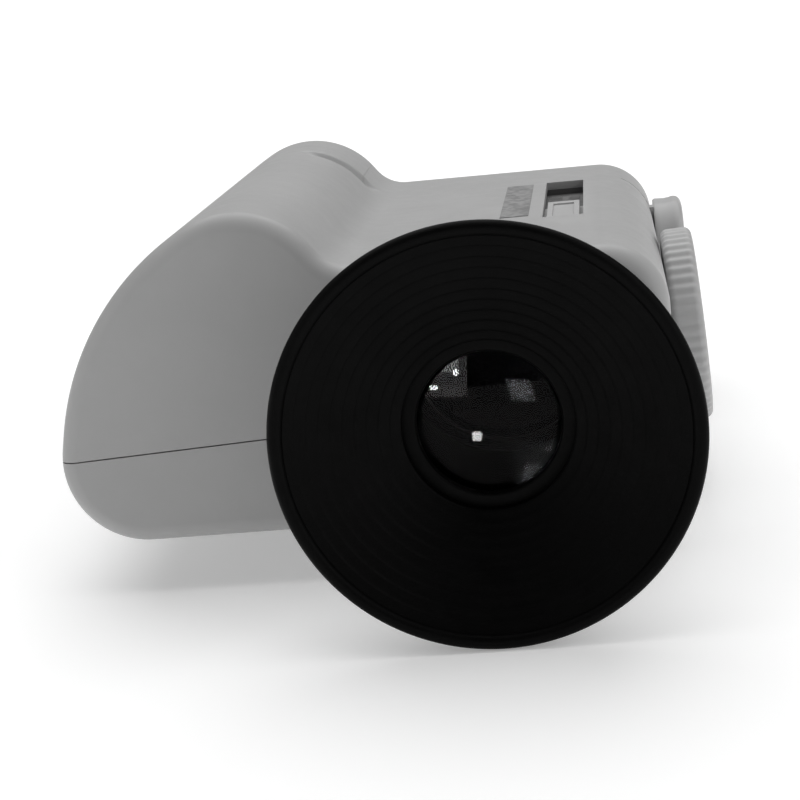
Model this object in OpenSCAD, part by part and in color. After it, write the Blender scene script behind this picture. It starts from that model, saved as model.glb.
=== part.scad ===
// Hand-held lighted slide viewer with a round rubber eyecup, a rack-and-pinion
// focus, a pull-out slide carrier and a battery grip.  Millimetres, +Z up.
// The origin is on the flat underside, below the lens axis, halfway along the
// housing.  +Y points along the lens axis away from the eye, +X to the right.

/* [Housing] */
// Length of the housing along the lens axis
body_length = 144; // [140:1:150]
// Height of the flat top above the flat underside
body_top = 55.8; // [55.8:0.2:57]
// Distance from the lens axis to the flat right side
body_right = 37.6; // [37.2:0.2:38]
// Height of the lens axis above the underside
axis_z = 27.5; // [27.2:0.1:27.8]
// Thickness of the housing walls
wall = 1.9; // [1.6:0.1:1.9]
// Rounding of the front and rear edges
edge_round = 4; // [2:0.5:4]
// Height of the parting line at the lens axis
seam_z = 23.3; // [22:0.1:24]
// Rise of the parting line to the right, in degrees
seam_angle = 2.65; // [0:0.05:3]

/* [Eyepiece] */
// Outer radius of the eyecup rim
cup_rim_r = 42; // [40:0.5:42]
// How far the eyecup rim stands in front of the housing
cup_reach = 42; // [40:1:44]
// Depth of the eyecup from rim to barrel
cup_depth = 13; // [10:0.5:14]
// Number of steps inside the eyecup
cup_steps = 10; // [6:1:12]
// Outer radius of the eyepiece barrel
barrel_r = 19; // [19:0.1:19.2]
// Wall thickness of the barrel
barrel_wall = 1.8; // [1.5:0.1:1.8]
// Clear radius of the eye lens
lens_clear_r = 14.3; // [12:0.1:14.5]

/* [Focus drive] */
// Radius over the ridges of the focus wheel
wheel_r = 22.2; // [20:0.1:22.6]
// Width of the focus wheel
wheel_w = 7.2; // [6:0.1:8]
// Number of ridges round the focus wheel
wheel_ridges = 56; // [40:1:64]
// Position of the focus shaft along the housing
shaft_y = -17; // [-18:0.5:-16]
// Radius of the focus shaft
shaft_r = 1.5; // [1.5:0.1:1.6]
// Module of the rack and pinion
gear_module = 0.6; // [0.6]
// Number of pinion teeth
pinion_teeth = 16; // [16]

/* [Slide carrier] */
// Front face of the carrier along the housing
carrier_y = 41.6; // [41.4:0.1:41.8]
// Depth of the carrier
carrier_d = 5.3; // [5.3]
// Width of the pocket that takes a 50 mm square slide mount
slide_w = 50.8; // [50.6:0.1:51]
// Thickness of the pocket
slide_t = 3.4; // [3:0.1:3.4]
// Side of the square picture window
window = 37; // [36:0.5:38]
// Front face of the carrier grip
grip_y = 35; // [34:0.5:36]
// Depth of the carrier grip
grip_d = 18; // [17:0.5:18]
// Underside of the carrier grip
grip_z = 6; // [6:0.5:8]
// Height of the carrier grip
grip_h = 41.6; // [41:0.1:42.5]
// Rounding of the front edges of the carrier grip
grip_nose = 12; // [8:0.5:12]

/* [Lamp] */
// Position of the lamp along the housing
bulb_y = 60.5; // [60:0.1:61]
// Radius of the glass bulb
bulb_r = 4.4; // [4:0.1:4.6]

/* [Batteries] */
// Radius of one cell (size C)
cell_r = 13.1; // [13.1]
// Length of one cell without its button
cell_length = 48.5; // [48.5]
// Sideways position of the cells
cell_x = -52.3; // [-53:0.1:-52]
// Height of the cells
cell_z = 46; // [46:0.1:47]
// Front edge of the battery door
door_y = 43; // [42:0.5:44]

/* [Switch] */
// Left side of the switch slot
switch_x = 11.4; // [11:0.1:12]
// Width of the switch slot
switch_w = 9.3; // [9:0.1:9.6]
// Front end of the switch slot
switch_y = -22; // [-23:0.5:-21]
// Length of the switch slot
switch_length = 61; // [60:0.5:61]
// Length of the thumb piece
thumb_length = 26; // [24:0.5:28]

/* [Hidden] */
$fn = 64;
ARC_STEPS = 10;
front_y = -body_length / 2;
rear_y = body_length / 2;
rim_y = front_y - cup_reach;
seat_y = rim_y + cup_depth;
door_bottom = 30;
door_right = -36;
door_gap = 0.2;
guide_r = 21.5;
bore_fit = 0.05;
pitch_r = gear_module * pinion_teeth / 2;
pinion_x = 24.4;
pinion_w = 4.4;
rack_front = -44;
rack_rear = -5;
wheel_gap = 1;
wheel_mid = body_right + wheel_gap + wheel_w / 2;
cells_front = -44;
button_h = 1.5;
tube_wall = 1.5;
thumb_x = switch_x + 0.9;
thumb_w = switch_w - 1.8;
board_top = body_top - wall - 1.4;
carrier_floor = 2.3;
carrier_top = 52.4;
carrier_left = -27.4;
pocket_floor = 2.9;
slot_clear = 0.3;
plate_x = 30;
grip_x = body_right + 0.4;
grip_out = 45.3;
socket_x = -22;
stem_pins = [18, 37];
stem_top = 46.8;
board_rear = 39.4;
// Corners of the housing outline, seen from the eye end: x, z, radius.
// A negative radius is the hollow between the grip and the flat top.
CORNERS = [
    [-98.4, 0, 17.9],
    [body_right, 0, 8.4],
    [body_right, body_top, 13.4],
    [-31.8, body_top, -9.5],
    [-46.7, body_top + 19.7, 20.9],
    [-87.6, 52.5, 61.4]
];
// Case screws: x, y, height of the boss top in the upper shell
SCREWS = [
    [-80, -58, 46.5],
    [-80, 28, 46.5],
    [30, -60, 50],
    [30, 25, 50],
    [-31, 65.5, body_top - wall + 0.5]
];
// Screws in the floor of the lower shell: bracket, gate frame, lamp socket
BRACKET_SCREWS = [[15, shaft_y - 5], [15, shaft_y + 5]];
GATE_SCREWS = [[-24, 34], [20, 34]];
SOCKET_SCREW = [-26, bulb_y - 3];
FLOOR_SCREWS = [each BRACKET_SCREWS, each GATE_SCREWS, SOCKET_SCREW];
BOARD_SCREWS_Y = [switch_y - 4.5, 36];
board_screw_x = switch_x - 3.7;

// ---- outline functions ----
function unit(v) = v / norm(v);
function flat(p) = [p.x, p.y];
function meet(p, u, q, v) = p + u * cross(q - p, v) / cross(u, v);
function inward(u) = [-u.y, u.x];
function boss_split(x) = seam_z + x * tan(seam_angle);
function before(i, n) = (i + n - 1) % n;
function after(i, n) = (i + 1) % n;

// The same outline moved inwards by d, with its corner radii adjusted
function inset(c, d) = [for (i = [0 : len(c) - 1])
    let (
        b = flat(c[i]),
        u = unit(b - flat(c[before(i, len(c))])),
        v = unit(flat(c[after(i, len(c))]) - b),
        p = meet(b + inward(u) * d, u, b + inward(v) * d, v)
    )
    [p.x, p.y, c[i].z - d]
];

// Points of one rounded corner b between its neighbours a and c
function corner_arc(a, b, c, r) =
    let (
        u = unit(a - b),
        v = unit(c - b),
        half = acos(u * v) / 2,
        m = b + unit(u + v) * r / sin(half),
        s = b + u * r / tan(half) - m,
        turn = (180 - 2 * half) * (cross(-u, v) > 0 ? 1 : -1),
        start = atan2(s.y, s.x)
    )
    [for (k = [0 : ARC_STEPS]) let (a = start + turn * k / ARC_STEPS) m + r * [cos(a), sin(a)]];

// All points of an outline with rounded corners
function rounded(c) = [for (i = [0 : len(c) - 1])
    each corner_arc(flat(c[before(i, len(c))]), flat(c[i]), flat(c[after(i, len(c))]), abs(c[i].z))
];

// Rings of the outer skin: position along the housing and inset
function skin_rings() = [
    for (a = [90 : -30 : 0]) [front_y + edge_round * (1 - sin(a)), edge_round * (1 - cos(a))],
    for (a = [0 : 30 : 90]) [rear_y - edge_round * (1 - sin(a)), edge_round * (1 - cos(a))]
];

// Points and faces of a bar of round section swept along a route
function ring_at(route, i, r, sides, ref) =
    let (
        n = len(route),
        t = unit(route[min(i + 1, n - 1)] - route[max(i - 1, 0)]),
        side = unit(cross(t, ref)),
        up = cross(side, t)
    )
    [for (k = [0 : sides - 1]) let (a = 360 * k / sides) route[i] + r * (side * cos(a) + up * sin(a))];

// ---- helpers ----
// Places something drawn along +Z so that it runs along +Y on the lens axis
module on_axis(y) {
    translate([0, y, axis_z]) rotate([-90, 0, 0]) children();
}

// The same at any sideways place and height
module along_y(x, y, z) {
    translate([x, y, z]) rotate([-90, 0, 0]) children();
}

// Places something drawn along +Z so that it runs along +X
module along_x(x, y, z) {
    translate([x, y, z]) rotate([0, 90, 0]) children();
}

// The frame of the focus shaft, which rises to the right like the parting line
module shaft_frame() {
    translate([wheel_mid, 0, axis_z]) rotate([0, -seam_angle, 0]) translate([-wheel_mid, 0, -axis_z])
        children();
}

// A box from its lowest to its highest corner
module box(low, high) {
    translate(low) cube(high - low);
}

// A plain tube along +Z
module tube(r_out, r_in, h) {
    difference() {
        cylinder(r = r_out, h = h);
        translate([0, 0, -1]) cylinder(r = r_in, h = h + 2);
    }
}

// A round bar that follows a route of points
module bar(route, r, sides, ref) {
    n = len(route);
    points = [for (i = [0 : n - 1]) each ring_at(route, i, r, sides, ref)];
    faces = [
        for (i = [0 : n - 2], k = [0 : sides - 1])
            let (a = i * sides, b = (i + 1) * sides, next = (k + 1) % sides)
            [a + k, b + k, b + next, a + next],
        [for (k = [0 : sides - 1]) k],
        [for (k = [sides - 1 : -1 : 0]) (n - 1) * sides + k]
    ];
    polyhedron(points, faces);
}

// A prism with the housing outline, moved inwards by d, from y0 to y1
module outline_prism(d, y0, y1) {
    translate([0, y1, 0]) rotate([90, 0, 0])
        linear_extrude(y1 - y0) polygon(rounded(inset(CORNERS, d)));
}

// The solid housing with rounded front and rear edges
module skin() {
    rings = skin_rings();
    count = len(CORNERS) * (ARC_STEPS + 1);
    last = len(rings) - 1;
    points = [for (ring = rings, p = rounded(inset(CORNERS, ring[1]))) [p.x, ring[0], p.y]];
    faces = [
        [for (k = [count - 1 : -1 : 0]) k],
        for (i = [0 : last - 1], k = [0 : count - 1])
            let (a = i * count, b = (i + 1) * count, next = (k + 1) % count)
            [a + k, a + next, b + next, b + k],
        [for (k = [0 : count - 1]) last * count + k]
    ];
    polyhedron(points, faces);
}

// Everything above the parting line
module above_seam(gap) {
    translate([0, 0, seam_z + gap]) rotate([0, -seam_angle, 0])
        box([-150, -100, 0], [100, 100, 120]);
}

// Everything below the parting line
module below_seam() {
    translate([0, 0, seam_z]) rotate([0, -seam_angle, 0])
        box([-150, -100, -60], [100, 100, 0]);
}

// Openings that pass through both shells: barrel, focus bush and carrier
module shared_openings() {
    on_axis(front_y - 1) cylinder(r = guide_r + bore_fit, h = wall + 2);
    along_x(body_right - wall - 1, shaft_y, axis_z) cylinder(r = 4 + bore_fit, h = wall + 2);
    box([24, carrier_y - slot_clear, carrier_floor - slot_clear],
        [body_right + 1, carrier_y + carrier_d + slot_clear, carrier_top + slot_clear]);
    box([plate_x, carrier_y - slot_clear, carrier_top - 1],
        [body_right + 1, carrier_y + carrier_d + slot_clear, body_top + 1]);
}

// The space of the battery door, grown by a clearance
module door_space(gap) {
    box([-150, door_y - gap, door_bottom - gap], [door_right + gap, 100, 100]);
}

module upper_shell() {
    color("gainsboro") difference() {
        union() {
            difference() {
                intersection() {
                    skin();
                    above_seam(0.1);
                }
                outline_prism(wall, front_y + wall, rear_y - wall);
            }
            for (s = SCREWS)
                translate([s.x, s.y, boss_split(s.x) + 0.4])
                    cylinder(r = 3.5, h = s.z - boss_split(s.x) - 0.4);
            for (y = BOARD_SCREWS_Y)
                translate([board_screw_x, y, board_top]) cylinder(r = 1.6, h = body_top - board_top - 1);
        }
        shared_openings();
        door_space(door_gap);
        box([switch_x, switch_y, body_top - wall - 1], [switch_x + switch_w, switch_y + switch_length, 60]);
        for (s = SCREWS)
            translate([s.x, s.y, 0]) cylinder(r = 1.1, h = 38);
        for (y = BOARD_SCREWS_Y)
            translate([board_screw_x, y, board_top - 1])
                cylinder(r = 0.95, h = body_top - wall - board_top + 1);
    }
}

module lower_shell() {
    color("gainsboro") difference() {
        union() {
            difference() {
                intersection() {
                    skin();
                    below_seam();
                }
                outline_prism(wall, front_y + wall, rear_y - wall);
            }
            for (s = SCREWS)
                translate([s.x, s.y, 1]) cylinder(r = 4.2, h = boss_split(s.x) - 1.3);
            // Saddle under the rear end of the barrel guide
            box([-17, -55, wall - 0.5], [17, -52.5, 14]);
            // Rails that hold the diffuser
            for (y = [48, 51.2])
                box([-24, y, wall - 0.5], [24, y + 1, 5]);
        }
        on_axis(-60) cylinder(r = guide_r + bore_fit, h = 10);
        shared_openings();
        for (s = SCREWS) {
            translate([s.x, s.y, -1]) cylinder(r = 1.6, h = 40);
            translate([s.x, s.y, -1]) cylinder(r = 3.1, h = 9);
        }
        for (p = FLOOR_SCREWS)
            translate([p.x, p.y, 0.7]) cylinder(r = 1.1, h = wall);
    }
}

module case_screws() {
    color("silver") for (s = SCREWS) translate([s.x, s.y, 5.6]) difference() {
        union() {
            cylinder(r = 2.6, h = 2.4);
            cylinder(r = 1.1, h = 30);
        }
        translate([0, 0, -1]) cylinder(r = 1.2, h = 2.2, $fn = 6);
    }
}

module legend_plate() {
    color("darkgray") box([1.5, -18, body_top], [8.1, 37, body_top + 0.15]);
}

// ---- eyepiece ----
module barrel_guide() {
    color("dimgray") difference() {
        union() {
            on_axis(front_y - 1.2) cylinder(r = guide_r, h = 23);
            on_axis(front_y + wall) cylinder(r = guide_r + 2.5, h = 2);
        }
        on_axis(front_y - 3) cylinder(r = barrel_r + bore_fit, h = 30);
    }
}

module eyepiece_barrel() {
    length = 63;
    inner = barrel_r - barrel_wall;
    color("dimgray") on_axis(seat_y) difference() {
        cylinder(r = barrel_r, h = length);
        translate([0, 0, -1]) cylinder(r = inner, h = 9);
        cylinder(r = inner - 2, h = length + 1);
        translate([0, 0, 9.5]) cylinder(r = inner, h = 44);
        translate([0, 0, 55]) cylinder(r = inner, h = 20);
    }
}

// Steps of the cup wall from the barrel out to the lip: radius, depth
function cup_inside(i) =
    let (k = i / cup_steps)
    [barrel_r - 2 + (cup_rim_r + 0.6 - barrel_r) * k, (cup_depth - 2) * (1 - k) + 0.8];

module eyecup() {
    lip = 1;
    inside = [for (i = [0 : cup_steps - 1]) each [
        cup_inside(i),
        [cup_inside(i + 1).x - 0.5, cup_inside(i).y - 0.2]
    ]];
    color([0.1, 0.1, 0.1]) on_axis(rim_y) union() {
        rotate_extrude() polygon(concat(
            [[barrel_r, cup_depth], [barrel_r - 2, cup_depth]],
            inside,
            [
                [cup_rim_r - 1.6, 0.9],
                [cup_rim_r - 0.7, 1.6],
                [25, 12.2],
                [22.3, 15],
                [21.6, 23.5],
                [barrel_r, 23.5]
            ]
        ));
        rotate_extrude() translate([cup_rim_r - lip, lip]) circle(r = lip, $fn = 24);
    }
}

// A lens turned about the lens axis, with faces of two radii
module lens(r, edge, front_curve, back_curve, y) {
    steps = 8;
    front_sag = front_curve - sqrt(front_curve * front_curve - r * r);
    back_sag = back_curve - sqrt(back_curve * back_curve - r * r);
    function front_face(x) = front_curve - front_sag - sqrt(front_curve * front_curve - x * x);
    function back_face(x) = edge + back_sag - back_curve + sqrt(back_curve * back_curve - x * x);
    profile = concat(
        [for (k = [0 : steps]) [r * k / steps, front_face(r * k / steps)]],
        [for (k = [steps : -1 : 0]) [r * k / steps, back_face(r * k / steps)]]
    );
    on_axis(y) rotate_extrude() polygon(profile);
}

module eye_lens() {
    color([0.8, 0.9, 0.95, 0.5]) lens(16.9, 3, 50, 60, seat_y + 4.4);
}

module lens_retainer() {
    color([0.15, 0.15, 0.15]) on_axis(seat_y + 1.3) tube(barrel_r - barrel_wall, lens_clear_r, 2.2);
}

module field_lens() {
    color([0.8, 0.9, 0.95, 0.5]) lens(16.9, 3, 70, 90, seat_y + 55.5);
}

module field_retainer() {
    color([0.15, 0.15, 0.15]) on_axis(seat_y + 59) tube(barrel_r - barrel_wall, lens_clear_r + 0.5, 2);
}

// Straight rack, teeth upwards, on an arm that hugs the barrel
module focus_rack() {
    pitch = PI * gear_module;
    line = axis_z - pitch_r;
    root = line - 1.25 * gear_module;
    tip = line + 0.95 * gear_module;
    half_root = pitch / 4 + 1.25 * gear_module * tan(20) - 0.06;
    half_tip = pitch / 4 - 0.95 * gear_module * tan(20) - 0.06;
    teeth = [for (i = [-6 : 5]) shaft_y + (i + 0.5) * pitch];
    profile = concat(
        [[rack_rear, root - 4], [rack_rear, root]],
        [for (k = [len(teeth) - 1 : -1 : 0]) each [
            [teeth[k] + half_root, root],
            [teeth[k] + half_tip, tip],
            [teeth[k] - half_tip, tip],
            [teeth[k] - half_root, root]
        ]],
        [[rack_front, root], [rack_front, root - 4]]
    );
    color("dimgray") difference() {
        shaft_frame() union() {
            translate([pinion_x + 0.2, 0, 0]) rotate([90, 0, 90])
                linear_extrude(pinion_w - 0.4) polygon(profile);
            box([15, rack_front, root - 4], [pinion_x + 0.5, rack_front + 6, root]);
        }
        on_axis(rack_front - 5) cylinder(r = barrel_r, h = 20);
    }
}

// ---- focus drive ----
module focus_wheel() {
    ridge_h = 0.55;
    round_r = 1.8;
    steps = 4;
    outline = [for (i = [0 : wheel_ridges * steps - 1])
        let (
            a = 360 * i / (wheel_ridges * steps),
            r = wheel_r - ridge_h * (1 - abs(cos(180 * i / steps)))
        )
        r * [cos(a), sin(a)]
    ];
    color("gainsboro") shaft_frame() along_x(body_right + wheel_gap, shaft_y, axis_z) difference() {
        intersection() {
            linear_extrude(wheel_w) polygon(outline);
            union() {
                cylinder(r = wheel_r - round_r, h = wheel_w);
                translate([0, 0, round_r]) cylinder(r = wheel_r + 1, h = wheel_w - 2 * round_r);
                for (z = [round_r, wheel_w - round_r])
                    translate([0, 0, z])
                        rotate_extrude() translate([wheel_r - round_r, 0]) circle(r = round_r, $fn = 24);
            }
        }
        translate([0, 0, -1]) cylinder(r = shaft_r, h = 7);
        translate([0, 0, wheel_w - 0.8]) tube(15.5, 6, 3);
    }
}

module focus_shaft() {
    color("silver") shaft_frame() along_x(20.2, shaft_y, axis_z)
        cylinder(r = shaft_r, h = body_right + 7 - 20.2);
}

// Involute helper: the angle by which an involute turns at radius r
function inv_angle(r, base) = let (t = acos(base / r)) tan(t) * 180 / PI - t;

module focus_pinion() {
    base = pitch_r * cos(20);
    root = pitch_r - 1.25 * gear_module;
    tip = pitch_r + 0.9 * gear_module;
    half = 90 / pinion_teeth - 0.9 + inv_angle(pitch_r, base);
    flank = [for (k = [0 : 4]) base + (tip - base) * k / 4];
    outline = [for (n = [0 : pinion_teeth - 1])
        let (middle = 360 * n / pinion_teeth)
        each concat(
            [root * [cos(middle - half), sin(middle - half)]],
            [for (k = [0 : 4])
                let (a = middle - half + inv_angle(flank[k], base)) flank[k] * [cos(a), sin(a)]],
            [for (k = [4 : -1 : 0])
                let (a = middle + half - inv_angle(flank[k], base)) flank[k] * [cos(a), sin(a)]],
            [root * [cos(middle + half), sin(middle + half)]]
        )
    ];
    color("gold") shaft_frame() along_x(pinion_x, shaft_y, axis_z) difference() {
        linear_extrude(pinion_w) polygon(outline);
        translate([0, 0, -1]) cylinder(r = shaft_r, h = pinion_w + 2);
    }
}

module shaft_clip() {
    color("silver") shaft_frame() along_x(20.7, shaft_y, axis_z) difference() {
        tube(3.2, shaft_r, 0.5);
        translate([0, -1.1, -1]) cube([5, 2.2, 3]);
    }
}

module wheel_bearing() {
    color("dimgray") difference() {
        union() {
            along_x(body_right - wall - 1.2, shaft_y, axis_z) cylinder(r = 4, h = wall + 1.5);
            along_x(body_right + 0.05, shaft_y, axis_z) cylinder(r = 8, h = 0.4);
        }
        shaft_frame() along_x(body_right - wall - 3, shaft_y, axis_z)
            cylinder(r = shaft_r + bore_fit, h = 10);
    }
}

module shaft_bracket() {
    color("dimgray") difference() {
        union() {
            box([21.4, shaft_y - 8, wall], [23.4, shaft_y + 8, 33]);
            box([10, shaft_y - 8, wall], [23.4, shaft_y + 8, wall + 2]);
        }
        shaft_frame() along_x(20, shaft_y, axis_z) cylinder(r = shaft_r + bore_fit, h = 5);
        for (p = BRACKET_SCREWS)
            translate([p.x, p.y, 0]) cylinder(r = 1.2, h = 8);
    }
}

// Short screw with a round head that rests on a 2 mm flange on the floor
module floor_screw(p) {
    translate([p.x, p.y, 0.8]) cylinder(r = 1.1, h = wall + 1.7);
    translate([p.x, p.y, wall + 2]) cylinder(r = 2.2, h = 1.4);
}

module bracket_screws() {
    color("silver") for (p = BRACKET_SCREWS) floor_screw(p);
}

// ---- slide gate and carrier ----
module gate_frame() {
    rear = carrier_y - 0.4;
    color("dimgray") difference() {
        union() {
            box([-29, rear - 1.4, wall], [28, rear, 50.9]);
            box([-29, rear - 10, wall], [28, rear, wall + 2]);
        }
        box([-window / 2, rear - 3, axis_z - window / 2], [window / 2, rear + 1, axis_z + window / 2]);
        for (p = GATE_SCREWS)
            translate([p.x, p.y, 0]) cylinder(r = 1.2, h = 8);
    }
}

module gate_screws() {
    color("silver") for (p = GATE_SCREWS) floor_screw(p);
}

// Open-topped frame with a back plate; its right end fills the slot in the side
module slide_carrier() {
    back = carrier_y + carrier_d;
    front_lip = 0.9;
    lip_w = 3;
    pocket_y = carrier_y + front_lip;
    color("dimgray") difference() {
        union() {
            intersection() {
                union() {
                    box([carrier_left, carrier_y, carrier_floor], [body_right, back, carrier_top]);
                    box([plate_x + slot_clear, carrier_y, carrier_top - 3], [body_right, back, body_top]);
                }
                outline_prism(0.05, carrier_y - 1, back + 1);
            }
            box([body_right - 2, carrier_y + 0.4, 14], [grip_x, back - 0.4, stem_top]);
            for (z = stem_pins)
                along_x(grip_x - 1, carrier_y + carrier_d / 2, z) cylinder(r = 1.5, h = 5);
        }
        box([-slide_w / 2, pocket_y, pocket_floor], [slide_w / 2, pocket_y + slide_t, body_top]);
        box([-slide_w / 2 + lip_w, carrier_y - 1, pocket_floor + 3],
            [slide_w / 2 - lip_w, pocket_y + 1, body_top]);
        box([-window / 2, carrier_y, axis_z - window / 2], [window / 2, back + 1, axis_z + window / 2]);
    }
}

// Grip block on the right side with a rounded front-top edge
module carrier_grip() {
    rear = grip_y + grip_d;
    top = grip_z + grip_h;
    nose = grip_nose;
    edge = 2;
    color("gainsboro") difference() {
        intersection() {
            translate([grip_x - 1, 0, 0]) rotate([90, 0, 90]) linear_extrude(grip_out - grip_x + 2) union() {
                translate([grip_y, grip_z + nose]) square([nose, grip_h - 2 * nose]);
                translate([grip_y + nose, grip_z]) square([grip_d - nose, grip_h]);
                translate([grip_y + nose, top - nose]) circle(r = nose);
                translate([grip_y + nose, grip_z + nose]) circle(r = nose);
            }
            translate([0, rear + 1, 0]) rotate([90, 0, 0]) linear_extrude(grip_d + 2) union() {
                translate([grip_x, grip_z - 1]) square([grip_out - grip_x - edge, grip_h + 2 - 1]);
                translate([grip_x, grip_z + edge]) square([grip_out - grip_x, grip_h - 2 * edge]);
                translate([grip_out - edge, top - edge]) circle(r = edge);
                translate([grip_out - edge, grip_z + edge]) circle(r = edge);
            }
        }
        for (z = stem_pins)
            along_x(grip_x - 1, carrier_y + carrier_d / 2, z) cylinder(r = 1.5 + bore_fit, h = 5.1);
    }
}

// Two bowed leaf springs that press a slide forward against the pocket lips
module slide_springs() {
    back = carrier_y + 0.9 + slide_t;
    bow = 1.1;
    steps = 12;
    length = 32;
    function leaf_y(k) = back - 0.25 - bow * sin(180 * k / steps);
    profile = concat(
        [for (k = [0 : steps]) [leaf_y(k), axis_z - length / 2 + length * k / steps]],
        [for (k = [steps : -1 : 0]) [leaf_y(k) + 0.25, axis_z - length / 2 + length * k / steps]]
    );
    color("silver") for (x = [-slide_w / 2 + 1, slide_w / 2 - 3.4])
        translate([x, 0, 0]) rotate([90, 0, 90]) linear_extrude(2.4) polygon(profile);
}

module diffuser() {
    color("white") box([-27, 49.1, wall], [27, 51.1, 50]);
}

// ---- lamp ----
module lamp_socket() {
    color("tan") difference() {
        union() {
            along_x(socket_x, bulb_y, axis_z) cylinder(r = 6, h = 10);
            box([socket_x + 1, bulb_y - 3.5, wall], [socket_x + 8, bulb_y + 3.5, axis_z - 4]);
            box([socket_x - 7, bulb_y - 6, wall], [socket_x + 8, bulb_y, wall + 2]);
        }
        along_x(socket_x + 4, bulb_y, axis_z) cylinder(r = 4.35, h = 7);
        along_x(socket_x - 1, bulb_y, axis_z) cylinder(r = 1, h = 6);
        translate([SOCKET_SCREW.x, SOCKET_SCREW.y, 0]) cylinder(r = 1.2, h = 8);
    }
}

module socket_screw() {
    color("silver") floor_screw(SOCKET_SCREW);
}

module bulb_base() {
    color("goldenrod") union() {
        along_x(socket_x + 5, bulb_y, axis_z) cylinder(r = 4.2, h = 12);
        along_x(socket_x + 4, bulb_y, axis_z) cylinder(r1 = 1.8, r2 = 4.2, h = 1);
    }
}

module bulb_glass() {
    color([0.95, 0.95, 0.85, 0.5]) union() {
        translate([0, bulb_y, axis_z]) sphere(r = bulb_r);
        along_x(socket_x + 17, bulb_y, axis_z) cylinder(r = 3.4, h = -socket_x - 17);
    }
}

// Shallow round dish behind the bulb, on a post
module reflector() {
    depth = 2.5;
    rim = 9;
    steps = 8;
    function dish(k) = [rim * k / steps, -depth * pow(k / steps, 2)];
    profile = concat(
        [for (k = [0 : steps]) dish(k)],
        [for (k = [steps : -1 : 0]) dish(k) + [0, 0.8]]
    );
    color("white") union() {
        along_y(2, 68, axis_z) rotate_extrude() polygon(profile);
        box([-1, 68.1, wall], [5, 69.6, axis_z - 2]);
    }
}

module lamp_contacts() {
    color("goldenrod") {
        union() {
            box([socket_x - 0.5, bulb_y - 1.2, axis_z - 6], [socket_x, bulb_y + 1.2, axis_z + 1.5]);
            along_x(socket_x - 0.4, bulb_y, axis_z) cylinder(r = 1, h = 4.4);
        }
        box([socket_x - 0.5, bulb_y - 5, axis_z - 2], [socket_x, bulb_y - 2.6, axis_z + 2]);
    }
}

// ---- batteries ----
module battery_tube() {
    front = cells_front - 4;
    inner = cell_r + 0.4;
    color("gray") difference() {
        union() {
            along_y(cell_x, front, cell_z) cylinder(r = inner + tube_wall, h = door_y - 1 - front);
            for (y = [-40, 24])
                box([cell_x - 8, y, wall], [cell_x + 8, y + 3, cell_z - 8]);
        }
        along_y(cell_x, front + 2, cell_z) cylinder(r = inner, h = 100);
        along_y(cell_x, front - 1, cell_z) cylinder(r = 1.3, h = 5);
    }
}

module cell(y) {
    union() {
        along_y(cell_x, y + button_h, cell_z) cylinder(r = cell_r, h = cell_length);
        along_y(cell_x, y, cell_z) cylinder(r = 3.2, h = button_h + 1);
    }
}

module cell_front() {
    color("slateblue") cell(cells_front);
}

module cell_rear() {
    color("slateblue") cell(cells_front + cell_length + button_h);
}

module front_contact() {
    color("goldenrod") union() {
        along_y(cell_x, cells_front - 2, cell_z) cylinder(r = 8, h = 0.5);
        along_y(cell_x, cells_front - 1.8, cell_z) cylinder(r1 = 4, r2 = 3, h = 1.8);
        along_y(cell_x, cells_front - 5, cell_z) cylinder(r = 1, h = 3.2);
    }
}

// Coil spring between the rear cell and the door contact
module battery_spring() {
    start = cells_front + 2 * (cell_length + button_h);
    length = rear_y - wall - 0.5 - start;
    turns = 4;
    steps = 12;
    count = turns * steps;
    route = [for (i = [0 : count])
        let (a = 360 * i / steps, r = 5 + 2.5 * i / count)
        [cell_x + r * cos(a), start + 0.5 + (length - 1) * i / count, cell_z + r * sin(a)]
    ];
    color("silver") bar(route, 0.45, 6, [0, 1, 0]);
}

// Plate on the inside of the door with a strip that reaches forward
module door_contact() {
    plate_y = rear_y - wall - 0.5;
    strip_x = cell_x + 15;
    color("goldenrod") union() {
        along_y(cell_x, plate_y, cell_z) cylinder(r = 9, h = 0.5);
        box([cell_x, plate_y, cell_z - 2], [strip_x + 0.4, plate_y + 0.5, cell_z + 2]);
        box([strip_x, door_y + 1, cell_z - 2], [strip_x + 0.4, plate_y + 0.5, cell_z + 2]);
    }
}

// Fixed contact on the battery tube that meets the strip of the door
module return_clip() {
    strip_x = cell_x + 15;
    color("goldenrod") union() {
        box([strip_x + 0.6, 36, cell_z - 2], [strip_x + 1, door_y + 6, cell_z + 2]);
        box([strip_x + 0.1, 36, cell_z - 2], [strip_x + 1, 40, cell_z + 2]);
    }
}

// Rear cap of the grip, with a lip that tucks under the upper shell
module battery_door() {
    lip = 5;
    color("gainsboro") union() {
        difference() {
            intersection() {
                skin();
                door_space(0);
            }
            outline_prism(wall, front_y + wall, rear_y - wall);
        }
        intersection() {
            difference() {
                outline_prism(wall + 0.25, door_y - lip, door_y + 4);
                outline_prism(wall + 1.5, door_y - lip - 1, door_y + 5);
            }
            box([-64, door_y - lip - 2, 55], [-42, door_y + 6, 90]);
        }
        // The lip's root inside the cap
        intersection() {
            difference() {
                outline_prism(wall - 0.5, door_y + 0.5, door_y + 4);
                outline_prism(wall + 1.5, door_y - 1, door_y + 5);
            }
            box([-64, door_y, 55], [-42, door_y + 6, 90]);
        }
    }
}

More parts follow.
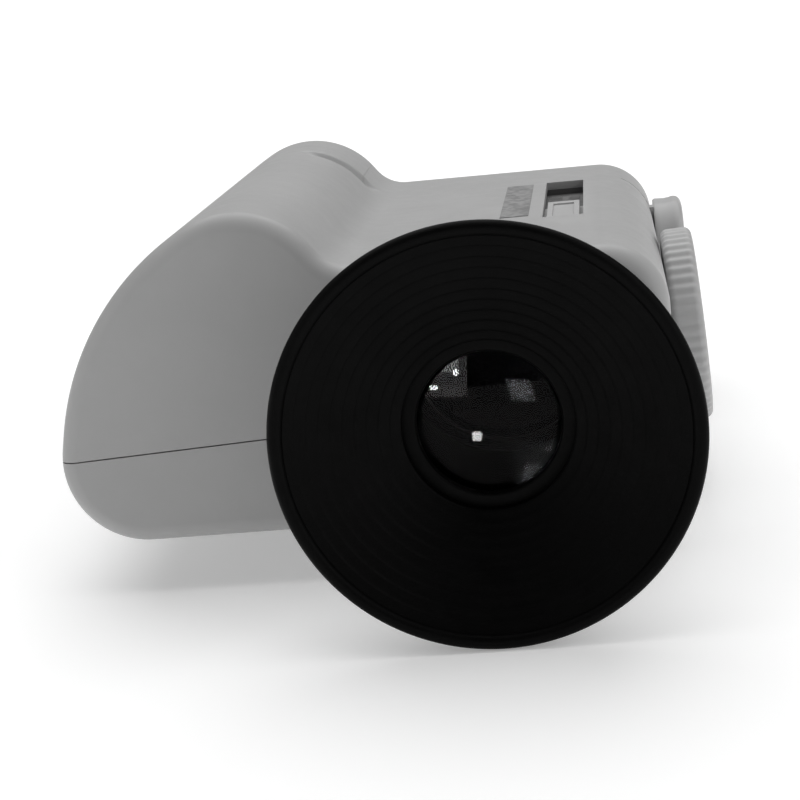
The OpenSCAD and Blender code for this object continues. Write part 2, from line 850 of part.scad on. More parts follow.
// ---- switch ----
module switch_slider() {
    under = body_top - wall - 0.2;
    y0 = switch_y + 0.4;
    color("whitesmoke") difference() {
        union() {
            box([thumb_x, y0, under - 0.4], [thumb_x + thumb_w, y0 + thumb_length, body_top - 0.3]);
            box([thumb_x - 2.6, y0 - 1, under - 0.7],
                [thumb_x + thumb_w + 2.6, y0 + thumb_length + 1.6, under]);
        }
        box([thumb_x + 1.6, y0 + 5, body_top - 1.1],
            [thumb_x + thumb_w - 1.6, y0 + thumb_length - 6, body_top + 1]);
    }
}

module switch_wiper() {
    y0 = switch_y + 8;
    color("goldenrod") for (x = [thumb_x + 0.5, thumb_x + thumb_w - 2.5])
        box([x, y0, board_top + 0.3], [x + 2, y0 + 10, body_top - wall - 0.9]);
}

module switch_board() {
    color("saddlebrown") difference() {
        box([switch_x - 6, switch_y - 7, board_top - 1.2], [switch_x + switch_w + 4, board_rear, board_top]);
        for (y = BOARD_SCREWS_Y)
            translate([board_screw_x, y, board_top - 3]) cylinder(r = 1, h = 5);
    }
}

module switch_tracks() {
    color("goldenrod") for (x = [thumb_x + 0.2, thumb_x + thumb_w - 2.8])
        box([x, switch_y + 3, board_top], [x + 2.6, 36, board_top + 0.2]);
}

module board_screws() {
    color("silver") for (y = BOARD_SCREWS_Y) translate([board_screw_x, y, board_top - 1.2]) {
        translate([0, 0, -1.1]) cylinder(r = 1.9, h = 1.1);
        cylinder(r = 0.95, h = body_top - wall - board_top + 1.2);
    }
}

// ---- wiring ----
module lead(route, ref) {
    bar(route, 0.6, 8, ref);
}

module lead_switch() {
    color("firebrick") lead([
        [cell_x + 0.2, cells_front - 5.8, cell_z],
        [cell_x + 3, cells_front - 7, cell_z],
        [cell_x + 9, cells_front - 7.5, cell_z + 1],
        [-36, -50, 49],
        [-30, -46, 50.3],
        [-20, -40, 50.6],
        [-5, -36, 50.2],
        [5, -34, 49.8],
        [13, -30.5, 50.1],
        [16, -26.5, 50.5]
    ], [0, 0, 1]);
}

module lead_lamp() {
    color("firebrick") lead([
        [12, 32, 50.6],
        [0, 31, 50.6],
        [-14, 31.5, 49.6],
        [-26, 34, 48],
        [-31, 39, 44],
        [-31.5, 45, 38],
        [-30, 51, 32],
        [-27, 55, 28.6],
        [-23.2, 57, 27.4]
    ], [0, 1, 1]);
}

module lead_return() {
    color("black") lead([
        [-35.6, 40, 44],
        [-34.2, 42, 40],
        [-33.8, 46, 35],
        [-33, 50, 28],
        [-30, 54, 22],
        [-26.5, 58, 20.6],
        [-23.2, 60.5, 22]
    ], [0, 0, 1]);
}

upper_shell();
lower_shell();
case_screws();
legend_plate();
barrel_guide();
eyepiece_barrel();
eyecup();
eye_lens();
lens_retainer();
field_lens();
field_retainer();
focus_rack();
focus_wheel();
focus_shaft();
focus_pinion();
shaft_clip();
wheel_bearing();
shaft_bracket();
bracket_screws();
gate_frame();
gate_screws();
slide_carrier();
carrier_grip();
slide_springs();
diffuser();
lamp_socket();
socket_screw();
bulb_base();
bulb_glass();
reflector();
lamp_contacts();
battery_tube();
cell_front();
cell_rear();
front_contact();
battery_spring();
door_contact();
return_clip();
battery_door();
switch_slider();
switch_wiper();
switch_board();
switch_tracks();
board_screws();
lead_switch();
lead_lamp();
lead_return();
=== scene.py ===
"""Looks for the lighted slide viewer: smooth shells, stepped eyecup, ridged wheel, lenses and plastics."""

import math

import bmesh
import bpy
import numpy as np
from mathutils import Matrix, Vector


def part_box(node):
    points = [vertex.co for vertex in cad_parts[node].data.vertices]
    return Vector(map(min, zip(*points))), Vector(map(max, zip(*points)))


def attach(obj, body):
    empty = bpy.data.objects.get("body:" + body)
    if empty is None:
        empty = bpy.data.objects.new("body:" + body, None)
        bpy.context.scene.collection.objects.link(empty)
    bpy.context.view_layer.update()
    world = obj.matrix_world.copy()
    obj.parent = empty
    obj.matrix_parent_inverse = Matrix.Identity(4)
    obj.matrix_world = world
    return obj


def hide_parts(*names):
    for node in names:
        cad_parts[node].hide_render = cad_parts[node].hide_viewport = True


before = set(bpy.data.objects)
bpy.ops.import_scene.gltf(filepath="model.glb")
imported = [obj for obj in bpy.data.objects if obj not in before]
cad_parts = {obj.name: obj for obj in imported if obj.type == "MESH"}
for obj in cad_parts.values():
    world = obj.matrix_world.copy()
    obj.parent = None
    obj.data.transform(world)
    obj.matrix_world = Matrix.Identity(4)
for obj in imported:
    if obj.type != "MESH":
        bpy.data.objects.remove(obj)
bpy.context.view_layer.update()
MM = 0.001


def box_mm(node):
    """Lowest and highest corner of a CAD node at rest, in millimetres."""
    return [[c / MM for c in corner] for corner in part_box(node)]


# ---- sizes in millimetres, in the CAD frame ----
(_, FRONT_Y, _), (RIGHT_X, REAR_Y, _) = box_mm("upper_shell")
TOP_Z = 55.8
BARREL_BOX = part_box("eyepiece_barrel")
AXIS_Z = (BARREL_BOX[0][2] + BARREL_BOX[1][2]) / 2 / MM
RIM_Y = box_mm("eyecup")[0][1]
SEAT_Y = BARREL_BOX[0][1] / MM
WALL = 1.9
EDGE = 4.0
# Parting plane at x = 0: height, slope to the right, half of its gap
SEAM_Z = 23.3
SEAM_ANGLE = math.radians(2.65)
SEAM_GAP = 0.13
# Corners of the housing outline seen from the eye end: x, z, radius (negative for the hollow)
CORNERS = [
    (-98.4, 0.0, 17.9),
    (RIGHT_X, 0.0, 8.4),
    (RIGHT_X, TOP_Z, 13.4),
    (-31.8, TOP_Z, -9.5),
    (-46.7, TOP_Z + 19.7, 20.9),
    (-87.6, 52.5, 61.4),
]
ARC_STEPS = 28
FILLET_STEPS = 10
# Battery door: its corner of the housing starts at these planes
DOOR_X = -36.0
DOOR_Y = 43.0
DOOR_Z = 30.0
DOOR_GAP = 0.05
DOOR_BEVEL = 0.03
SHELL_BEVEL = 0.2
# Switch slot in the top, seen from above: left, front, right, rear
SLOT = (11.4, -22.0, 20.7, 39.0)
# How far its cut reaches below and above the top
SLOT_CUT = (4.0, 2.0)
# Carrier slot in the right side: front and rear, left end, bottom and top
CARRIER_SLOT = (41.595, 46.905)
CARRIER_SLOT_X = 26.0
CARRIER_SLOT_Z = (2.0, 52.7)
# The carrier slot runs out through the rounded upper corner of the housing
CORNER_CUT_X = 30.29
CORNER_CUT_Z = (50.0, 60.0)
GUIDE_BORE_R = 21.55
SHAFT_Y = -17.0
SHAFT_BORE_R = 4.05
SCREW_WELLS = [(-80, -58), (-80, 28), (30, -60), (30, 25), (-31, 65.5)]
WELL_R = 3.1
WELL_DEPTH = 5.0
# Bounds of cutting blocks, beyond the housing on every side
BEYOND = 100.0
BEYOND_LEFT = -150.0
BEYOND_BELOW = -60.0
BEYOND_ABOVE = 120.0


# ---- materials ----
NOISE_RANGE = (0.3, 0.7)
CLOUD_SCALE = 38.0
SMEAR_SCALE = 190.0
EDGE_POINTINESS = (0.52, 0.62)
WORN_GAIN = 1.35
WORN_LIFT = 0.03
GRAIN_HEIGHT = 0.0002
GLASS_DUST_SCALE = 420.0
GLASS_BUMP = 0.002
GLASS_HEIGHT = 0.00005


def tree(name):
    """New node material with its nodes, links and shader."""
    mat = bpy.data.materials.new(name)
    mat.use_nodes = True
    nodes = mat.node_tree.nodes
    return mat, nodes, mat.node_tree.links, nodes["Principled BSDF"]


def noise(nodes, links, coords, scale, detail=6.0, rough=0.6):
    n = nodes.new("ShaderNodeTexNoise")
    n.inputs["Scale"].default_value = scale
    n.inputs["Detail"].default_value = detail
    n.inputs["Roughness"].default_value = rough
    links.new(coords, n.inputs["Vector"])
    return n


def mapped(nodes, links, source, low, high):
    """Spreads the middle of a noise over low to high."""
    m = nodes.new("ShaderNodeMapRange")
    m.inputs["To Min"].default_value = low
    m.inputs["To Max"].default_value = high
    m.inputs["From Min"].default_value, m.inputs["From Max"].default_value = NOISE_RANGE
    links.new(source, m.inputs["Value"])
    return m.outputs["Result"]


def add_bump(nodes, links, bsdf, source, strength, distance):
    height = nodes.new("ShaderNodeBump")
    height.inputs["Strength"].default_value = strength
    height.inputs["Distance"].default_value = distance
    links.new(source, height.inputs["Height"])
    links.new(height.outputs["Normal"], bsdf.inputs["Normal"])


def surface(name, color, rough, grain, bump, tone, metal=0.0, wear=0.0, spread=0.08, sheen=0.5):
    """Moulded or metal surface: grain bump, cloudy colour, uneven gloss and brighter worn edges."""
    mat, nodes, links, bsdf = tree(name)
    coords = nodes.new("ShaderNodeTexCoord").outputs["Object"]
    fine = noise(nodes, links, coords, grain, 3.0)
    cloud = noise(nodes, links, coords, CLOUD_SCALE, 5.0)
    smear = noise(nodes, links, coords, SMEAR_SCALE, 8.0, 0.7)
    mix = nodes.new("ShaderNodeMix")
    mix.data_type = "RGBA"
    mix.inputs["A"].default_value = tuple(c * (1 - tone) for c in color) + (1,)
    mix.inputs["B"].default_value = tuple(min(1, c * (1 + tone)) for c in color) + (1,)
    links.new(mapped(nodes, links, cloud.outputs["Fac"], 0, 1), mix.inputs["Factor"])
    result = mix.outputs["Result"]
    if wear:
        geo = nodes.new("ShaderNodeNewGeometry")
        edge = nodes.new("ShaderNodeMapRange")
        edge.inputs["From Min"].default_value, edge.inputs["From Max"].default_value = EDGE_POINTINESS
        links.new(geo.outputs["Pointiness"], edge.inputs["Value"])
        patchy = nodes.new("ShaderNodeMath")
        patchy.operation = "MULTIPLY"
        links.new(edge.outputs["Result"], patchy.inputs[0])
        links.new(mapped(nodes, links, smear.outputs["Fac"], 0, wear), patchy.inputs[1])
        worn = nodes.new("ShaderNodeMix")
        worn.data_type = "RGBA"
        worn.inputs["B"].default_value = tuple(min(1, c * WORN_GAIN + WORN_LIFT) for c in color) + (1,)
        links.new(patchy.outputs["Value"], worn.inputs["Factor"])
        links.new(result, worn.inputs["A"])
        result = worn.outputs["Result"]
    links.new(result, bsdf.inputs["Base Color"])
    gloss = mapped(nodes, links, smear.outputs["Fac"], rough - spread, rough + spread)
    links.new(gloss, bsdf.inputs["Roughness"])
    add_bump(nodes, links, bsdf, fine.outputs["Fac"], bump, GRAIN_HEIGHT)
    bsdf.inputs["Metallic"].default_value = metal
    bsdf.inputs["Specular IOR Level"].default_value = sheen
    return mat


def glass_material(name, tint, rough, ior):
    """Glass of a given tint with a trace of dust and waviness; a dark tint is painted shade on what shows
    behind it.
    """
    mat, nodes, links, bsdf = tree(name)
    coords = nodes.new("ShaderNodeTexCoord").outputs["Object"]
    dust = noise(nodes, links, coords, GLASS_DUST_SCALE, 4.0)
    bsdf.inputs["Base Color"].default_value = tint + (1,)
    bsdf.inputs["Transmission Weight"].default_value = 1.0
    bsdf.inputs["IOR"].default_value = ior
    links.new(mapped(nodes, links, dust.outputs["Fac"], 0.0, rough), bsdf.inputs["Roughness"])
    add_bump(nodes, links, bsdf, dust.outputs["Fac"], GLASS_BUMP, GLASS_HEIGHT)
    return mat


PLASTIC = surface("housing_plastic", (0.40, 0.40, 0.40), 0.48, 2400.0, 0.10, 0.03, wear=0.25, sheen=0.35)
GRIP = surface("grip_plastic", (0.43, 0.43, 0.43), 0.45, 2200.0, 0.08, 0.03, wear=0.25, sheen=0.35)
RUBBER = surface("eyecup_rubber", (0.0018, 0.0018, 0.0018), 0.46, 1500.0, 0.30, 0.25, spread=0.1, sheen=0.05)
DARK = surface("black_plastic", (0.0022, 0.0022, 0.0022), 0.45, 1800.0, 0.15, 0.15, sheen=0.05)
STEEL = surface("plated_steel", (0.52, 0.52, 0.52), 0.32, 900.0, 0.08, 0.08, metal=1.0)
BRASS = surface("contact_brass", (0.60, 0.43, 0.18), 0.34, 900.0, 0.08, 0.1, metal=1.0)
SLEEVE = surface("cell_sleeve", (0.10, 0.12, 0.16), 0.36, 1600.0, 0.04, 0.12)
WHITE = surface("lamp_white", (0.82, 0.82, 0.80), 0.6, 1800.0, 0.08, 0.04)
BOARD = surface("laminate_board", (0.11, 0.11, 0.11), 0.5, 1400.0, 0.12, 0.12)
TRACK = surface("worn_track", (0.12, 0.12, 0.12), 0.4, 1200.0, 0.1, 0.2, metal=0.6)
THUMB = surface("thumb_plastic", (0.44, 0.44, 0.44), 0.45, 2200.0, 0.08, 0.03, wear=0.3)
RED = surface("red_lead", (0.40, 0.04, 0.03), 0.45, 1500.0, 0.08, 0.08)
BLACK = surface("black_lead", (0.02, 0.02, 0.02), 0.45, 1500.0, 0.08, 0.1)
# The lens glass is tinted dark grey: painted shade that darkens the view into the unlit inside of the
# viewer.
SHADED_LENS_GLASS = glass_material("lens_glass", (0.24, 0.25, 0.26), 0.01, 1.14)
BULB = glass_material("bulb_glass_clear", (0.98, 0.97, 0.93), 0.02, 1.5)

PRINT_SCALE = 620.0
PRINT_STOPS = ((0.42, 0.17), (0.60, 0.28))
PRINT_BUMP = 0.15


def legend_material():
    """Grey printed patch: soft blotches that only hint at worn print."""
    mat, nodes, links, bsdf = tree("legend_print")
    coords = nodes.new("ShaderNodeTexCoord").outputs["Object"]
    blotch = noise(nodes, links, coords, PRINT_SCALE, 1.0, 0.3)
    ramp = nodes.new("ShaderNodeValToRGB")
    for element, (position, grey) in zip(ramp.color_ramp.elements, PRINT_STOPS):
        element.position = position
        element.color = (grey, grey, grey, 1)
    links.new(blotch.outputs["Fac"], ramp.inputs["Fac"])
    links.new(ramp.outputs["Color"], bsdf.inputs["Base Color"])
    links.new(mapped(nodes, links, blotch.outputs["Fac"], 0.42, 0.6), bsdf.inputs["Roughness"])
    add_bump(nodes, links, bsdf, blotch.outputs["Fac"], PRINT_BUMP, GRAIN_HEIGHT)
    return mat


LEGEND = legend_material()


# ---- mesh helpers ----
MERGE_DISTANCE = 1e-7
BEVEL_SEGMENTS = 2


def new_object(name, verts, faces):
    """Mesh object from points in millimetres, with doubles merged and normals outward."""
    mesh = bpy.data.meshes.new(name)
    mesh.from_pydata([Vector(v) * MM for v in verts], [], faces)
    mesh.update()
    obj = bpy.data.objects.new(name, mesh)
    bpy.context.scene.collection.objects.link(obj)
    bm = bmesh.new()
    bm.from_mesh(mesh)
    bmesh.ops.remove_doubles(bm, verts=bm.verts, dist=MERGE_DISTANCE)
    bmesh.ops.recalc_face_normals(bm, faces=bm.faces)
    bm.to_mesh(mesh)
    bm.free()
    return obj


def loft(name, rings, closed=False):
    """Skins rings of equal length; closed joins the last ring to the first instead of capping."""
    count = len(rings[0])
    verts = [p for ring in rings for p in ring]
    faces = []
    spans = len(rings) if closed else len(rings) - 1
    for i in range(spans):
        a, b = i * count, ((i + 1) % len(rings)) * count
        faces += [(a + k, a + (k + 1) % count, b + (k + 1) % count, b + k) for k in range(count)]
    if not closed:
        faces += [tuple(range(count)), tuple(range((len(rings) - 1) * count, len(rings) * count))]
    return new_object(name, verts, faces)


def block(name, low, high):
    """Box between two corners."""
    x0, y0, z0 = low
    x1, y1, z1 = high
    return loft(name, [
        [(x0, y0, z0), (x1, y0, z0), (x1, y1, z0), (x0, y1, z0)],
        [(x0, y0, z1), (x1, y0, z1), (x1, y1, z1), (x0, y1, z1)],
    ])


def turned(name, profile, centre, segments):
    """Closed profile of (radius, along) turned about the Y direction through centre."""
    rings = []
    for s in range(segments):
        a = 2 * math.pi * s / segments
        c, d = math.cos(a), math.sin(a)
        rings.append([(centre[0] + r * c, centre[1] + t, centre[2] + r * d) for r, t in profile])
    return loft(name, rings, closed=True)


def cylinder_along(name, axis, start, r, length, segments=96):
    """Plain cylinder from start along the X, Y or Z direction."""
    rings = []
    for t in (0, length):
        ring = []
        for s in range(segments):
            a = 2 * math.pi * s / segments
            c, d = r * math.cos(a), r * math.sin(a)
            step = {"X": (t, c, d), "Y": (c, t, d), "Z": (c, d, t)}[axis]
            ring.append(tuple(p + q for p, q in zip(start, step)))
        rings.append(ring)
    return loft(name, rings)


def apply_modifiers(obj):
    """Replaces the object's mesh by its evaluated one."""
    graph = bpy.context.evaluated_depsgraph_get()
    done = bpy.data.meshes.new_from_object(obj.evaluated_get(graph))
    old = obj.data
    obj.modifiers.clear()
    obj.data = done
    bpy.data.meshes.remove(old)


def combine(obj, other, how):
    """Exact boolean with another object, which is used up."""
    mod = obj.modifiers.new("cut", "BOOLEAN")
    mod.operation = how
    mod.solver = "EXACT"
    mod.object = other
    apply_modifiers(obj)
    bpy.data.objects.remove(other)


def bevelled(obj, width, angle=32.0):
    mod = obj.modifiers.new("bevel", "BEVEL")
    mod.width = width * MM
    mod.segments = BEVEL_SEGMENTS
    mod.limit_method = "ANGLE"
    mod.angle_limit = math.radians(angle)
    mod.use_clamp_overlap = True
    apply_modifiers(obj)


def smoothed(obj, angle=32.0):
    """Smooth shading below an angle, with area-weighted normals."""
    bm = bmesh.new()
    bm.from_mesh(obj.data)
    for face in bm.faces:
        face.smooth = True
    for edge in bm.edges:
        edge.smooth = len(edge.link_faces) == 2 and edge.calc_face_angle(0) < math.radians(angle)
    bm.to_mesh(obj.data)
    bm.free()
    mod = obj.modifiers.new("normals", "WEIGHTED_NORMAL")
    mod.keep_sharp = True


def soften(obj, width=0.0, angle=32.0):
    """Small bevel on hard edges, then smooth shading."""
    if width:
        bevelled(obj, width, angle)
    smoothed(obj, angle)


def finish_piece(obj, material, body, node):
    """Material and body of a piece, and the CAD node that it stands for."""
    obj.data.materials.clear()
    obj.data.materials.append(material)
    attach(obj, body)
    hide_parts(node)
    return obj


# ---- housing outline ----
def unit(v):
    return v / np.linalg.norm(v)


def cross2(u, v):
    return u[0] * v[1] - u[1] * v[0]


def inset(corners, d):
    """Outline moved inward by d, with its radii."""
    out = []
    for i, (x, z, r) in enumerate(corners):
        b = np.array([x, z])
        a = np.array(corners[i - 1][:2])
        c = np.array(corners[(i + 1) % len(corners)][:2])
        u, v = unit(b - a), unit(c - b)
        p = b + np.array([-u[1], u[0]]) * d
        q = b + np.array([-v[1], v[0]]) * d
        m = p + u * cross2(q - p, v) / cross2(u, v)
        out.append((m[0], m[1], r - d))
    return out


def rounded(corners):
    """Points of the outline with an arc at each corner."""
    points = []
    for i, (x, z, r) in enumerate(corners):
        b, r = np.array([x, z]), abs(r)
        u = unit(np.array(corners[i - 1][:2]) - b)
        v = unit(np.array(corners[(i + 1) % len(corners)][:2]) - b)
        half = math.acos(float(u @ v)) / 2
        m = b + unit(u + v) * r / math.sin(half)
        s = b + u * r / math.tan(half) - m
        turn = (math.pi - 2 * half) * (1 if cross2(-u, v) > 0 else -1)
        start = math.atan2(s[1], s[0])
        for k in range(ARC_STEPS + 1):
            a = start + turn * k / ARC_STEPS
            points.append((m[0] + r * math.cos(a), m[1] + r * math.sin(a)))
    return points


def inner_space():
    """Room inside the housing walls."""
    outline = rounded(inset(CORNERS, WALL))
    return loft("inner", [[(x, y, z) for x, z in outline] for y in (FRONT_Y + WALL, REAR_Y - WALL)])


# Soft groove in front of the battery door: distance from the door edge, share of the depth
GROOVE = [(-8.0, 0.0), (-6.5, 0.10), (-5.0, 0.30), (-3.5, 0.56), (-2.2, 0.80), (-1.1, 0.95), (-0.3, 1.0),
          (0.1, 0.96), (0.35, 0.84), (0.6, 0.64), (0.85, 0.40), (1.1, 0.18), (1.4, 0.05), (1.8, 0.0)]
GROOVE_DEPTH = 1.55
# Across the lobe: the groove fades in between the first two and out between the last two
GROOVE_X = (-53.0, -44.0, -36.5, -30.8)


def groove_weight(x, z):
    """How deep the soft groove in front of the battery door is at a point of the outline."""
    if z < DOOR_Z:
        return 0.0
    x0, x1, x2, x3 = GROOVE_X
    t = min((x - x0) / (x1 - x0), (x3 - x) / (x3 - x2))
    t = min(1.0, max(0.0, t))
    return t * t * (3 - 2 * t)


def skin(name):
    """Closed outer skin of the housing with rounded end edges and the groove before the door."""
    rings = []
    for k in range(FILLET_STEPS + 1):
        a = math.radians(90 * (1 - k / FILLET_STEPS))
        rings.append((FRONT_Y + EDGE * (1 - math.sin(a)), EDGE * (1 - math.cos(a))))
    grooves = len(rings)
    rings += [(DOOR_Y + y, GROOVE_DEPTH * d) for y, d in GROOVE]
    for k in range(FILLET_STEPS + 1):
        a = math.radians(90 * k / FILLET_STEPS)
        rings.append((REAR_Y - EDGE * (1 - math.sin(a)), EDGE * (1 - math.cos(a))))
    plain = rounded(CORNERS)
    loops = []
    for i, (y, d) in enumerate(rings):
        outline = rounded(inset(CORNERS, d))
        if grooves <= i < grooves + len(GROOVE):
            weights = [groove_weight(x, z) for x, z in plain]
            outline = [
                (x + (u - x) * w, z + (v - z) * w) for (x, z), (u, v), w in zip(plain, outline, weights)
            ]
        loops.append([(x, y, z) for x, z in outline])
    return loft(name, loops)


def half_space(name, upper):
    """Box above or below the parting plane."""
    low, high = (SEAM_GAP, BEYOND_ABOVE) if upper else (BEYOND_BELOW, -SEAM_GAP)
    obj = block(name, (BEYOND_LEFT, -BEYOND, low), (BEYOND, BEYOND, high))
    obj.data.transform(Matrix.Rotation(-SEAM_ANGLE, 4, "Y"))
    obj.data.transform(Matrix.Translation((0, 0, SEAM_Z * MM)))
    return obj


def housing_half(name, upper):
    """One shell: skin cut at the parting plane, with its bores, slots and screw wells."""
    obj = skin(name)

    def cut(tool):
        combine(obj, tool, "DIFFERENCE")

    cut(inner_space())
    combine(obj, half_space("side", upper), "INTERSECT")
    cut(cylinder_along("bore", "Y", (0, FRONT_Y - 1, AXIS_Z), GUIDE_BORE_R, WALL + 2))
    cut(cylinder_along("bush", "X", (RIGHT_X - 3, SHAFT_Y, AXIS_Z), SHAFT_BORE_R, 5))
    if upper:
        below, above = SLOT_CUT
        cut(block("switch", (SLOT[0], SLOT[1], TOP_Z - below), (SLOT[2], SLOT[3], TOP_Z + above)))
    else:
        for x, y in SCREW_WELLS:
            cut(cylinder_along("well", "Z", (x, y, -1), WELL_R, WELL_DEPTH + 1, 40))
    bevelled(obj, SHELL_BEVEL)
    (y0, y1), (z0, z1) = CARRIER_SLOT, CARRIER_SLOT_Z
    cut(block("slide", (CARRIER_SLOT_X, y0, z0), (RIGHT_X + 1, y1, z1)))
    if upper:
        z0, z1 = CORNER_CUT_Z
        cut(block("corner", (CORNER_CUT_X, y0, z0), (RIGHT_X + 1, y1, z1)))
        low = (BEYOND_LEFT, DOOR_Y - DOOR_GAP, DOOR_Z - DOOR_GAP)
        cut(block("door", low, (DOOR_X + DOOR_GAP, BEYOND, BEYOND)))
    smoothed(obj)
    return obj


finish_piece(housing_half("housing_upper", True), PLASTIC, "housing", "upper_shell")
finish_piece(housing_half("housing_lower", False), PLASTIC, "housing", "lower_shell")

door = skin("door_cap")
combine(door, block("space", (BEYOND_LEFT, DOOR_Y, DOOR_Z), (DOOR_X, BEYOND, BEYOND)), "INTERSECT")
combine(door, inner_space(), "DIFFERENCE")
soften(door, DOOR_BEVEL)
finish_piece(door, PLASTIC, "battery_cap", "battery_door")


# ---- eyecup ----
CUP_R = 42.0
CUP_DEPTH = 13.0
CUP_STEPS = 10
CUP_LENGTH = 23.5
CUP_LIP_R = 1.55
LIP_STEPS = 12
BARREL_R = 19.0
# One step of the cup's inner face: share of its width, share of its drop
TREAD = ((0.0, 0.0), (0.25, 0.17), (0.55, 0.42), (0.75, 0.62), (0.87, 0.76), (0.95, 0.91))
# Outer face from the lip back to the collar: radius, distance behind the rim
CUP_BACK = [(CUP_R - 0.35, 2.4), (CUP_R - 1.8, 3.3), (34.0, 7.6), (26.5, 12.0), (23.4, 14.6), (22.2, 17.5),
            (21.9, 21.5), (21.5, 23.2), (21.0, CUP_LENGTH), (BARREL_R, CUP_LENGTH)]


def eyecup_profile():
    """Closed section of the rubber cup: radius, distance behind the rim."""
    points = [(BARREL_R, CUP_DEPTH), (BARREL_R - 2.0, CUP_DEPTH), (BARREL_R - 2.05, CUP_DEPTH - 0.8)]
    inner, outer = BARREL_R - 1.9, CUP_R - 2.6
    for i in range(CUP_STEPS):
        k0, k1 = i / CUP_STEPS, (i + 1) / CUP_STEPS
        r0 = inner + (outer - inner) * k0
        r1 = inner + (outer - inner) * k1
        y0 = (CUP_DEPTH - 2) * (1 - k0) + 0.9
        y1 = (CUP_DEPTH - 2) * (1 - k1) + 0.9
        points += [(r0 + (r1 - r0) * t, y0 - (y0 - y1) * h) for t, h in TREAD]
    for k in range(LIP_STEPS + 1):
        a = math.radians(215 - 205 * k / LIP_STEPS)
        points.append((CUP_R - CUP_LIP_R + CUP_LIP_R * math.cos(a), CUP_LIP_R - CUP_LIP_R * math.sin(a)))
    return points + CUP_BACK


cup = turned("eyecup_rubber_cup", eyecup_profile(), (0, RIM_Y, AXIS_Z), 240)
soften(cup, 0, 60.0)
finish_piece(cup, RUBBER, "eyepiece", "eyecup")


# ---- eyepiece glass and rings ----
LENS_R = 16.9
LENS_EDGE = 3.0
LENS_STEPS = 24
LENS_SEGMENTS = 96
# Front and back radius of each lens, and its distance behind the front of the barrel
EYE_LENS = (50.0, 60.0, 4.4)
FIELD_LENS = (70.0, 90.0, 55.5)
# Section of the ring that holds the eye lens: radius, distance behind the front of the barrel
RING_PROFILE = [(17.15, 1.3), (14.9, 1.3), (14.5, 1.5), (14.3, 1.9), (14.3, 3.4), (17.15, 3.5)]


def lens_paths(front, back):
    """Front and back face from the axis to the edge: radius, distance behind the front edge plane."""
    front_rise = front - math.sqrt(front * front - LENS_R * LENS_R)
    back_rise = back - math.sqrt(back * back - LENS_R * LENS_R)
    radii = [LENS_R * k / LENS_STEPS for k in range(LENS_STEPS + 1)]
    return (
        [(r, front - front_rise - math.sqrt(front ** 2 - r ** 2)) for r in radii],
        [(r, LENS_EDGE + back_rise - back + math.sqrt(back ** 2 - r ** 2)) for r in reversed(radii)],
    )


def lens(name, shape, node):
    """Glass disc turned on the lens axis with closed poles."""
    front_radius, back_radius, behind = shape
    front, back = lens_paths(front_radius, back_radius)
    y, n = SEAT_Y + behind, LENS_SEGMENTS
    path = front[1:] + back[:-1]
    verts = [(0, y + front[0][1], AXIS_Z), (0, y + back[-1][1], AXIS_Z)]
    for r, t in path:
        for s in range(n):
            a = 2 * math.pi * s / n
            verts.append((r * math.cos(a), y + t, AXIS_Z + r * math.sin(a)))
    faces = [(0, 2 + s, 2 + (s + 1) % n) for s in range(n)]
    for i in range(len(path) - 1):
        a, b = 2 + i * n, 2 + (i + 1) * n
        faces += [(a + s, a + (s + 1) % n, b + (s + 1) % n, b + s) for s in range(n)]
    last = 2 + (len(path) - 1) * n
    faces += [(1, last + (s + 1) % n, last + s) for s in range(n)]
    obj = new_object(name, verts, faces)
    soften(obj, 0, 40.0)
    return finish_piece(obj, SHADED_LENS_GLASS, "eyepiece", node)


eye_glass = lens("eye_lens_glass", EYE_LENS, "eye_lens")
lens("field_lens_glass", FIELD_LENS, "field_lens")

ring = turned("eye_lens_ring", RING_PROFILE, (0, SEAT_Y, AXIS_Z), 160)
soften(ring, 0, 50.0)
finish_piece(ring, DARK, "eyepiece", "lens_retainer")


# ---- focus wheel ----
WHEEL_GAP = 1.0
WHEEL_W = 7.2
WHEEL_MID = RIGHT_X + WHEEL_GAP + WHEEL_W / 2
WHEEL_R = 22.2
WHEEL_EDGE = 1.8
RIDGES = 56
RIDGE_STEPS = 10
RIDGE_DEPTH = 0.34
ROUND_STEPS = 8
# Inner face and dished outer face of the wheel: distance from the inner face, distance inside its radius
WHEEL_BACK = [(0, 16.0), (0, 2.2)]
WHEEL_DISH = [
    (WHEEL_W, 6.0), (WHEEL_W - 0.7, 6.9), (WHEEL_W - 0.8, 15.5),
    (WHEEL_W - 0.1, 16.2), (WHEEL_W - 0.05, 20.0),
]


def quarter(steps):
    """Angles of a quarter turn in equal steps."""
    return [math.radians(90 * k / steps) for k in range(steps + 1)]


def wheel_ring(x, inset_r, ridge):
    """Ring in the frame of the shaft, which rises to the right like the parting line."""
    count = RIDGES * RIDGE_STEPS
    c, d = math.cos(SEAM_ANGLE), math.sin(SEAM_ANGLE)
    u = x - WHEEL_W / 2
    ring = []
    for i in range(count):
        a = 2 * math.pi * i / count
        dip = 0.5 - 0.5 * math.cos(2 * math.pi * i / RIDGE_STEPS)
        r = WHEEL_R - inset_r - RIDGE_DEPTH * ridge * dip
        w = r * math.sin(a)
        ring.append((WHEEL_MID + u * c - w * d, SHAFT_Y + r * math.cos(a), AXIS_Z + u * d + w * c))
    return ring


def wheel():
    """Wheel with rounded edges, ridges round its tread and a dished outer face."""
    edges = []
    for a in quarter(ROUND_STEPS):
        edges.append((WHEEL_EDGE * (1 - math.cos(a)), WHEEL_EDGE * (1 - math.sin(a)), math.sin(a)))
    rings = [wheel_ring(x, d, 0) for x, d in WHEEL_BACK]
    rings += [wheel_ring(x, d, ridge) for x, d, ridge in edges]
    rings += [wheel_ring(WHEEL_W - x, d, ridge) for x, d, ridge in reversed(edges)]
    rings += [wheel_ring(x, d, 0) for x, d in WHEEL_DISH]
    return loft("focus_wheel_knurled", rings)


knob = wheel()
soften(knob, 0, 55.0)
finish_piece(knob, GRIP, "focus", "focus_wheel")


